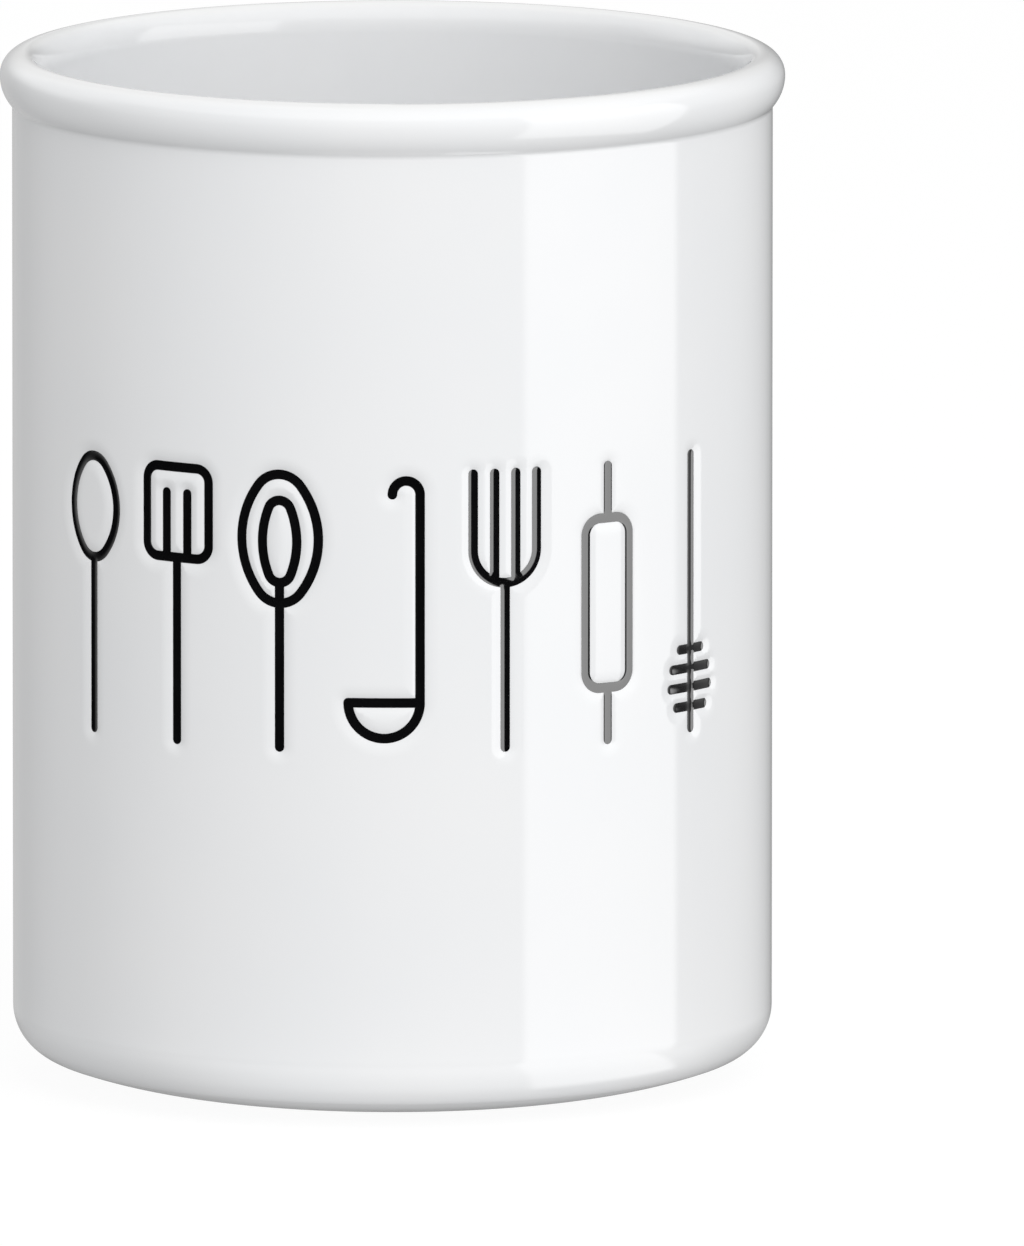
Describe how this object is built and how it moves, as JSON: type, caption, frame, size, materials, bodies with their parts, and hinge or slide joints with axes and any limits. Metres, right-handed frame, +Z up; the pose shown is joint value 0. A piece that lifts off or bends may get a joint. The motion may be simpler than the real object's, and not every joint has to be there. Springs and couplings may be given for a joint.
{
  "type": "utensil crock",
  "caption": "Straight-sided glazed stoneware crock with a rolled bead rim, open at the top to hold kitchen utensils, with black line drawings of utensils inlaid in its front.",
  "frame": {"origin": "on the crock's axis, on the plane that its foot ring stands on", "axes": "+Z up the crock's axis towards its mouth, and the drawings face -Y"},
  "size_m": [0.1396, 0.1396, 0.1841],
  "materials": {
    "fired_clay": "bare fired stoneware, matte",
    "white_glaze": "high gloss white glaze",
    "black_enamel": "glossy black enamel"
  },
  "bodies": {
    "root": {"clay_body": "fired_clay", "glaze_coat": "white_glaze", "underside_glaze": "white_glaze", "spoon_inlay": "black_enamel", "turner_inlay": "black_enamel", "whisk_inlay": "black_enamel", "ladle_inlay": "black_enamel", "fork_inlay": "black_enamel", "rolling_pin_inlay": "black_enamel", "dipper_inlay": "black_enamel"}
  },
  "joints": []
}
